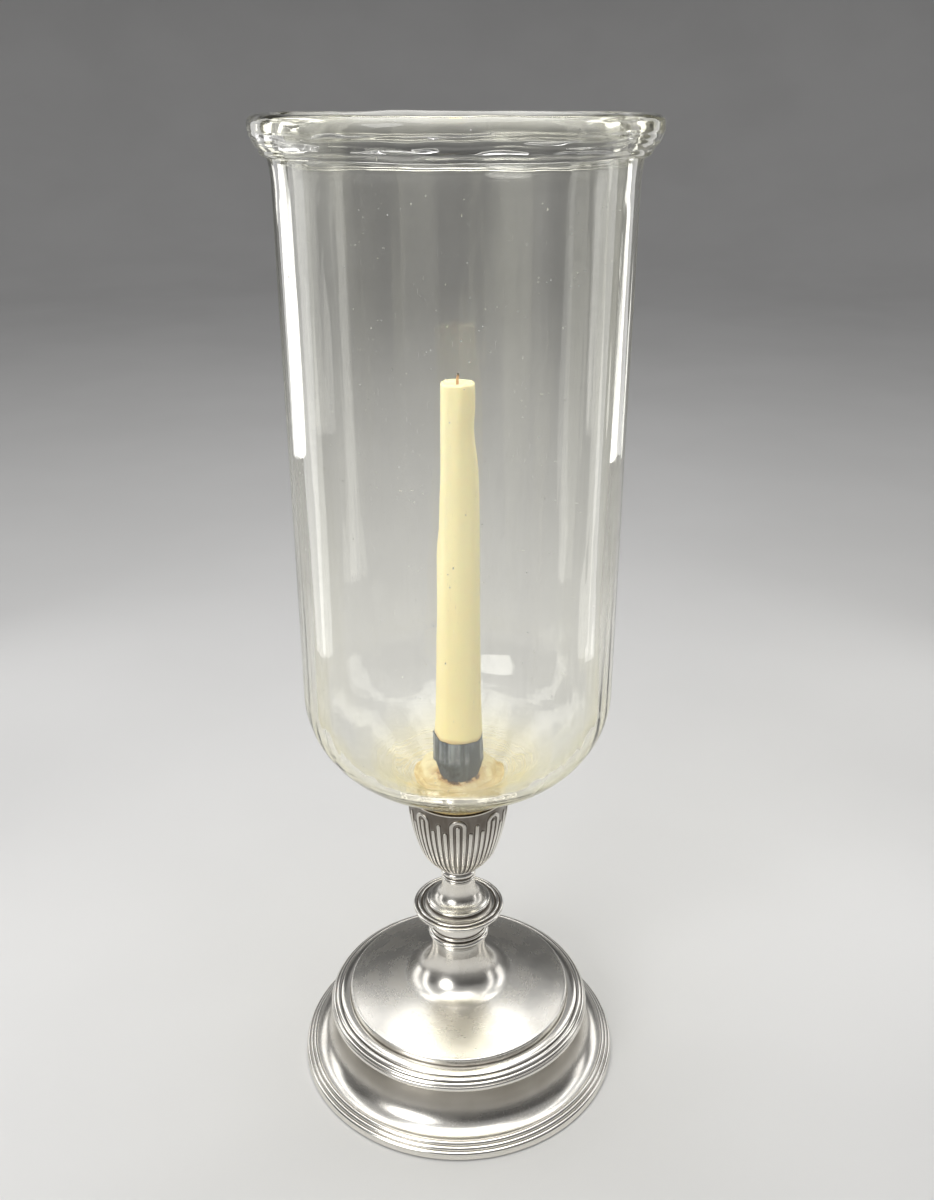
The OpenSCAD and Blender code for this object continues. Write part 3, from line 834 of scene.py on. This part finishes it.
def shadeOutline():
    d = shade
    lean = math.radians(d["cone"])
    slope = math.tan(lean)
    bowlX = d["radius"] - d["bowl"]
    bowlZ = d["footZ"] + slope * (bowlX + d["bowl"] * math.sin(lean) - d["foot"]) + d["bowl"] * math.cos(lean)
    foldZ, lipZ = d["lipZ"] - d["fold"], d["lipZ"]
    wall = d["radius"] + d["spread"]

    def side(t, startR):
        bowl = arc((bowlX, bowlZ), d["bowl"] - t, d["bowl"] - t, d["cone"] - 90, 0, 36)
        start = (startR, bowl[0][1] - slope * (bowl[0][0] - startR))
        return line(start, bowl[0], 10, 0, 9) + bowl + line(bowl[-1], (wall - t, foldZ - 14), 64, 1)

    outer, inner = side(0, d["foot"]), side(d["wall"], d["hole"])
    mouth, neck, rim = wall - d["wall"], d["radius"] + d["neck"], d["rim"]
    lip = (
        bend((wall, foldZ - 10), (wall + 0.3, foldZ - 3), (neck, foldZ), 10)
        + bend((neck + 0.5, foldZ - 0.15), (neck + 2.2, foldZ - 0.5), (neck + 2.9, foldZ + 1.4), 8)
        + bend((neck + 3.2, foldZ + 2.4), (rim - 0.9, lipZ - 11), (rim - 0.3, lipZ - 5.5), 36)
        + bend((rim - 0.4, lipZ - 3.6), (rim - 0.7, lipZ - 0.4), (rim - 5, lipZ - 0.3), 16)
        + bend((mouth + 4.4, lipZ - 0.3), (mouth + 1.2, lipZ - 1.5), (mouth + 0.6, lipZ - 8), 12)
    )
    outer = [(d["hole"], d["footZ"])] + outer
    return outer + lip + inner[::-1], len(outer), len(outer + lip)


# A closed bubble of air inside the glass: its middle by radius, height and angle, its half size by turn, height
# and depth, and how much it wanders
def bubble(verts, faces, middle, half, bow, around, along):
    radius, height, angle = middle
    halfTurn, halfHeight, halfDepth = half
    first = len(verts)

    def wave(c, s):
        return bow * wobble(c, s, 6, height)

    for i in range(1, along):
        tilt = math.pi * i / along
        a = angle + halfTurn * math.cos(tilt)
        c, s = math.cos(a), math.sin(a)
        girth = math.sin(tilt) * (1 + min(0.5, bow) * wobble(c, s, 15, height + 3))
        for j in range(around):
            roll = 2 * math.pi * j / around
            r = radius + halfDepth * girth * math.cos(roll)
            z = height + wave(c, s) + halfHeight * girth * math.sin(roll)
            verts.append((r * c * mm, r * s * mm, z * mm))
    ends = []
    for side in (1, -1):
        a = angle + halfTurn * side
        c, s = math.cos(a), math.sin(a)
        ends.append(len(verts))
        verts.append((radius * c * mm, radius * s * mm, (height + wave(c, s)) * mm))
    for i in range(along - 2):
        for j in range(around):
            k = (j + 1) % around
            low, high = first + i * around, first + (i + 1) * around
            faces.append([low + j, low + k, high + k, high + j])
    last = first + (along - 2) * around
    for j in range(around):
        k = (j + 1) % around
        faces.append([ends[0], first + k, first + j])
        faces.append([ends[1], last + j, last + k])


# Air caught in the fold, in two layers
def addFoldAir(verts, faces):
    d = foldAir
    for i in range(d["count"]):
        pick = draws(i, 4.5, 5)
        layer = i % 2
        radius = d["radius"] + d["layer"][0] * layer + pick[0] * 0.3
        height = d["height"] + d["layer"][1] * layer + pick[1] * 1.6
        half = (math.radians(8 + 5 * pick[3]), 0.4 + 0.9 * pick[4] ** 2, 0.22 + 0.2 * pick[0])
        middle = (radius, height, 2 * math.pi * (i + 0.4 * pick[2]) / d["count"])
        bubble(verts, faces, middle, half, 1.0, d["around"], d["along"])


# Small seeds of air in the wall
def addSeeds(verts, faces):
    d = seedAir
    for i in range(d["count"]):
        pick = draws(i, 9.5, 4)
        size = d["least"] + d["more"] * pick[2] ** 3
        middle = (d["radius"] + pick[3] * 1.6, d["low"] + d["tall"] * pick[0], 2 * math.pi * pick[1])
        bubble(verts, faces, middle, (size / 67, size * 1.7, size), 0.0, d["around"], d["along"])


def makeShade():
    d = shade
    outline, lipStart, lipEnd = shadeOutline()

    # lumps, creases and sag of the fold
    def foldShape(shift, r, z, c, s):
        share = ramp(*d["lumpsFrom"], r)
        fine = wobble(c, s, 9.0, z * 0.16 + 5)
        lump = d["lumps"] * (wobble(c, s, 3.6, z * 0.05 + 11) - 0.2) + 0.25 * fine
        shift = shift * (1 - share) + share * lump
        for k, (creaseZ, deep) in enumerate(d["creases"]):
            wave = 1.7 * wobble(c, s, 1.8, k * 7.3) + 0.6 * wobble(c, s, 7, k * 7.3)
            fade = 0.35 + 1.1 * abs(wobble(c, s, 2.3, k * 3.1))
            shift -= share * deep * fade * hump(z - creaseZ, wave, d["creaseWide"])
        sag = wobble(c, s, 2.6, 21.0) + 0.4 * fine
        high = ramp(*d["sagTo"], z)
        return shift, z + (0.8 * sag + 0.2) * share * (1 - high) + (0.45 * sag - 0.55) * high

    def shape(r, z, a, row):
        c, s = math.cos(a), math.sin(a)
        side, calm = (0.0, 0.5) if row < lipEnd else (7.3, 1.0)  # the outside and the inside differ
        streak = wobble(c, s, 8.5, z * 0.007 + side) + 0.25 * wobble(c, s, 24, z * 0.012 + side)
        broad = noise.noise(Vector((c * 1.7 + 3.1, s * 1.7, z * 0.011 + side)))
        shift = ramp(*d["wanderFrom"], z) * (d["streaks"] * streak + d["wander"] * broad * calm)
        if z < d["toolingTo"][0] and r > d["foot"] + 0.3:
            ring = d["tooling"] * wobble(c, s, 0.7, r / 1.6 + side)
            z += ring * ramp(d["foot"], d["foot"] + 3, r) * ramp(*d["toolingTo"], z)
        if lipStart <= row < lipEnd:
            shift, z = foldShape(shift, r, z, c, s)
        elif row >= lipEnd and z > d["ridgesFrom"][0]:
            shift += d["ridges"] * wobble(c, s, 1.5, z * 0.42) * smooth(*d["ridgesFrom"], z)
        return r + shift, min(z, d["lipZ"])

    verts, faces, rows = spin(outline, d["turns"], shape)
    addFoldAir(verts, faces)
    addSeeds(verts, faces)
    stain = [smooth(*d["stainTo"], z) if row < lipStart else 0.0 for row, (r, z) in enumerate(outline)]
    bloom = [smooth(*d["bloomFrom"], z) for r, z in outline]
    marks = {"stain": spread(rows, stain, len(verts)), "bloom": spread(rows, bloom, len(verts))}
    makePiece("shade", verts, faces, d, glass, marks, crease=75)


makeShade()
print("glass ready")

# Dull metal tube that holds the candle and plugs into the urn
tube = {
    "node": "candle_tube", "body": "shade", "slot": "dark_tube", "turns": 160, "round": 0.08, "uneven": 0.04,
    "unevenSize": 7.0, "radius": 12.3, "sheet": 0.28, "footZ": 137.5, "floorZ": 152.5, "floor": 2, "topZ": 183.5,
    "plug": 1.0,
}


def tubeOutline():
    d = tube
    inside, plug, underZ = d["radius"] - d["sheet"], d["radius"] - d["plug"], d["floorZ"] - d["floor"]
    return (
        [(0.0, underZ), (plug, underZ), (plug, d["footZ"])]
        + line((d["radius"], d["footZ"]), (d["radius"], d["topZ"]), 40)
        + [(inside, d["topZ"]), (inside, d["floorZ"]), (0.0, d["floorZ"])]
    )


turned("tube", tubeOutline(), tube, slate)

# Plaster round the tube: a flat ring, broken away in front of the tube and heaped up at its sides and behind it,
# with a thin film of it under the foot of the glass. Angles run from 0 in front to 180 behind
heap = {
    "node": "plaster_collar", "body": "shade", "slot": "plaster", "turns": 300, "rows": 56, "inside": 12.25,
    "hole": 17.06, "edge": 22.0, "footZ": 152.17, "film": 22.5, "filmZ": 152.26, "holeZ": 154.02, "edgeZ": 157.59,
    "front": 159.6, "back": 171.0, "heapedFrom": (40, 100), "crestFrom": (12, 112), "swell": 0.9, "welt": 0.35,
}


def makeHeap():
    d = heap
    base = [
        (d["inside"], d["footZ"]), (d["film"], d["footZ"]), (d["film"], d["filmZ"]), (d["hole"], d["filmZ"]),
        (d["hole"], d["holeZ"]), (d["edge"], d["edgeZ"]),
    ]
    outline = base + line((d["edge"], d["edgeZ"]), (d["inside"], d["edgeZ"]), d["rows"], 1)
    lap, heapLight = [], []

    # the share t runs from 0 at the edge to 1 at the tube
    def shape(r, z, a, row):
        if row < len(base):
            lap.append(0.0)
            heapLight.append(0.0)
            return r, z
        t = (row - len(base) + 1) / d["rows"]
        c, s = math.cos(a), math.sin(a)
        turn = math.degrees(math.acos(max(-1.0, min(1.0, -s))))
        heaped = smooth(*d["heapedFrom"], turn)
        ragged = wobble(c, s, 5, 2.0) * 0.9 + wobble(c, s, 16, 8.0) * 0.7
        crest = d["front"] + (d["back"] - d["front"]) * smooth(*d["crestFrom"], turn) + ragged
        ring = z + d["swell"] * min(1.0, t / 0.08) - d["swell"] * math.sin(math.pi * min(1.0, t / 0.38))
        ring += d["welt"] * hump(t, 0.36, 0.05)
        start = 0.46 - 0.14 * heaped + 0.05 * wobble(c, s, 3, 5.0)
        near = max(0.0, (t - start) / (1 - start))
        height = ring + (crest - ring) * near ** (1.5 - 0.95 * heaped)
        lump = noise.noise(Vector((r * c, r * s, 3.0)) / 3.4) * min(1.0, 5 * t)
        crumb = noise.noise(Vector((r * c, r * s, 9.0)) / 0.85) * (0.08 + 0.45 * near * (1 - heaped))
        lap.append(smooth(0.45, 0.92, t + 0.10 * crumb) * (1 - 0.85 * heaped))
        # marks the heaps, which the finish paints lighter as lit tops
        heapLight.append(smooth(0.05, 0.5, near) * heaped)
        return r, height + lump * (0.12 + 0.9 * heaped * min(1.0, near * 3)) + crumb

    verts, faces, rows = spin(outline, d["turns"], shape)
    makePiece("plaster", verts, faces, d, plaster, {"lap": lap, "heapLight": heapLight}, crease=70)


makeHeap()
print("tube and plaster ready")

# Tapered candle with a dished top, and a shallow waist on its right side near the top
taper = {
    "node": "candle", "body": "candle", "slot": "wax", "turns": 160, "bore": 0.8, "footZ": 152.8, "socketZ": 183.5,
    "topZ": 345.8, "foot": 11.85, "chamfer": 0.5, "shoulder": 12.15, "shoulderRound": (0.3, 0.35), "gap": 0.06,
    "top": 7.2, "topRound": 1.2, "dish": 0.9, "notchZ": 325.5, "notch": 1.45, "notchSpan": 7.5,
    "notchAngle": -12.0, "uneven": 0.14, "unevenFrom": (2, 16), "ruffle": 0.25, "ruffleBelow": 1.3,
    "settle": 0.1, "settleBelow": 0.4, "steps": 110,
}


def taperOutline():
    d = taper
    seat, top, topZ, edge = d["socketZ"] + d["gap"], d["top"], d["topZ"], d["topRound"]
    wide, tall = d["shoulderRound"]
    wall = line((d["foot"], d["footZ"]), (d["foot"], seat), 8)
    wall += arc((d["shoulder"] - wide, seat + tall), wide, tall, -90, 0, 6)
    wall += line((d["shoulder"], wall[-1][1]), (top, topZ - edge), d["steps"], 1)
    crown = arc((top - edge, topZ - edge), edge, edge, 0, 90, 8)
    dishZ = topZ - d["dish"]
    dished = bend((top - 1.6, topZ - 0.05), (top - 3.6, dishZ), (d["bore"], dishZ), 12)
    return [(d["bore"], d["footZ"]), (d["foot"] - d["chamfer"], d["footZ"])] + wall + crown[1:] + dished


def makeTaper():
    d = taper
    unevenZ = [d["socketZ"] + up for up in d["unevenFrom"]]

    def shape(r, z, a, row):
        if r < d["bore"] + 0.2:
            return r, z
        free = ramp(*unevenZ, z)
        c, s = math.cos(a), math.sin(a)
        wave = wobble(c, s, 1.3, z * 0.03) + 0.5 * wobble(c, s, 3, z * 0.08 + 4)
        facing = max(0.0, math.cos(a - math.radians(d["notchAngle"])))
        cut = d["notch"] * hump(z, d["notchZ"], d["notchSpan"]) * facing ** 1.5
        shift = r / d["foot"] * (d["uneven"] * wave * free - cut)
        lift = 0.0
        if z > d["topZ"] - d["ruffleBelow"]:
            lift += d["ruffle"] * free * noise.noise(Vector((r * c, r * s, 1.0)) / 3.0)
        if z > d["topZ"] - d["settleBelow"]:
            lift -= d["settle"]
        return r + shift, z + lift

    verts, faces, rows = spin(taperOutline(), d["turns"], shape)
    makePiece("taper", verts, faces, d, wax, crease=60)


# Twisted wick that leans a little
strand = {
    "node": "wick", "body": "candle", "slot": "wick_cotton", "turns": 24, "radius": 0.66, "footZ": 153.3,
    "twistZ": 340.0, "tipZ": 349.4, "tipRound": 0.4, "tipShare": 0.6, "plies": 3, "plyDepth": 0.13, "twist": 2.4,
    "bendZ": 344.5, "bendRise": 5.2, "lean": 0.45, "forward": 0.25,
}


def makeWick():
    d = strand
    radius, shoulderZ = d["radius"], d["tipZ"] - d["tipRound"]
    outline = [(0.0, d["footZ"]), (radius, d["footZ"])]
    outline += line((radius, d["twistZ"]), (radius, shoulderZ), 24)
    outline += [(radius * d["tipShare"], d["tipZ"]), (0.0, d["tipZ"])]

    def shape(r, z, a, row):
        return r * (1 + d["plyDepth"] * math.cos(d["plies"] * a + z * d["twist"])), z

    verts, faces, rows = spin(outline, d["turns"], shape)
    bent = []
    for x, y, z in verts:
        t = max(0.0, (z / mm - d["bendZ"]) / d["bendRise"])
        bent.append((x + d["lean"] * t * t * mm, y - d["forward"] * t * mm, z))
    makePiece("taper_wick", bent, faces, d, wickCotton, crease=80)


makeTaper()
makeWick()
print("candle ready")

# A wide pale floor that rises gently at its far edge, soft boxes and an even grey room
floorLook = {
    "rings": [0.2, 0.6, 1.4], "flat": 2.6, "turn": 2.0, "top": 3.4, "drop": 0.0002, "turns": 96, "backZ": (0.5, 2.2),
    "pale": (0.70, 0.695, 0.685), "shade": (0.665, 0.66, 0.65), "back": (0.31, 0.31, 0.312),
}


def floorFinish():
    d = floorLook
    f = Finish("pale paper")
    where = f.place()
    cloud = f.grain(where, 3.0, 3.0)
    colour = f.blend(f.ease(cloud, 0.3, 0.7), d["pale"], d["shade"])
    colour = f.blend(f.ease(f.split(where)[2], *d["backZ"]), colour, d["back"])
    return f.done(f.surface({
        "Base Color": colour, "Roughness": 0.6 + cloud * 0.2, "Specular IOR Level": 0.2,
    }))


def makeFloor():
    d = floorLook
    outline = [(r, 0.0) for r in d["rings"]] + arc((d["flat"], d["turn"]), d["turn"], d["turn"], -90, -3, 29)
    outline += [(d["flat"] + d["turn"], d["top"])]
    verts, faces = [(0.0, 0.0, -d["drop"])], []
    for r, z in outline:
        for j in range(d["turns"]):
            a = 2 * math.pi * j / d["turns"]
            verts.append((r * math.cos(a), r * math.sin(a), z - d["drop"]))
    for j in range(d["turns"]):
        k = (j + 1) % d["turns"]
        faces.append([0, 1 + j, 1 + k])
        for i in range(len(outline) - 1):
            low, high = 1 + i * d["turns"], 1 + (i + 1) * d["turns"]
            faces.append([low + j, high + j, high + k, low + k])
    mesh = bpy.data.meshes.new("floor")
    mesh.from_pydata(verts, [], faces)
    mesh.shade_smooth()
    mesh.materials.append(floorFinish())
    floor = bpy.data.objects.new("floor", mesh)
    bpy.context.scene.collection.objects.link(floor)


lamps = {
    "overhead": {"place": (0.0, 0.02, 1.40), "aim": (0.0, 0.02, 0.1), "size": (1.1, 1.6), "watts": 13.0},
    "frontLeft": {
        "place": (-1.0, -1.25, 1.05), "aim": (0.0, 0.0, 0.25), "size": (1.0, 1.0), "watts": 11.0, "shape": "ELLIPSE",
    },
    "sideLeft": {"place": (-0.36, 0.09, 0.53), "aim": (0.0, 0.0, 0.53), "size": (0.09, 0.90), "watts": 0.42},
    "sideRight": {"place": (0.36, 0.07, 0.53), "aim": (0.0, 0.0, 0.53), "size": (0.07, 0.90), "watts": 0.32},
    "backLeft": {"place": (-0.46, 0.41, 0.44), "aim": (0.0, 0.0, 0.34), "size": (0.17, 0.62), "watts": 0.46},
    "backRight": {"place": (0.46, 0.41, 0.44), "aim": (0.0, 0.0, 0.34), "size": (0.17, 0.62), "watts": 0.46},
}


def makeLamps():
    for name, lamp in lamps.items():
        data = bpy.data.lights.new(name, "AREA")
        data.shape = lamp.get("shape", "RECTANGLE")
        data.size, data.size_y = lamp["size"]
        data.energy = lamp["watts"]
        thing = bpy.data.objects.new(name, data)
        thing.location = lamp["place"]
        toward = Vector(lamp["aim"]) - Vector(lamp["place"])
        thing.rotation_euler = toward.to_track_quat("-Z", "Y").to_euler()
        thing.visible_camera = False
        bpy.context.scene.collection.objects.link(thing)


room = {"horizon": (0.13, 0.13, 0.132), "high": (0.38, 0.38, 0.385), "rise": (0.20, 0.95), "strength": 1.0}


def makeRoom():
    bpy.context.scene.world = bpy.data.worlds.new("room")
    f = Finish("room", bpy.context.scene.world)
    upward = f.split(f.add("TexCoord", out="Generated"))[2]
    colour = f.blend(f.ease(upward, *room["rise"]), room["horizon"], room["high"])
    light = f.add("Background", {}, {"Color": colour, "Strength": room["strength"]})
    f.add("OutputWorld", {}, {"Surface": light})


makeFloor()
makeLamps()
makeRoom()
print("floor, lamps and room ready")
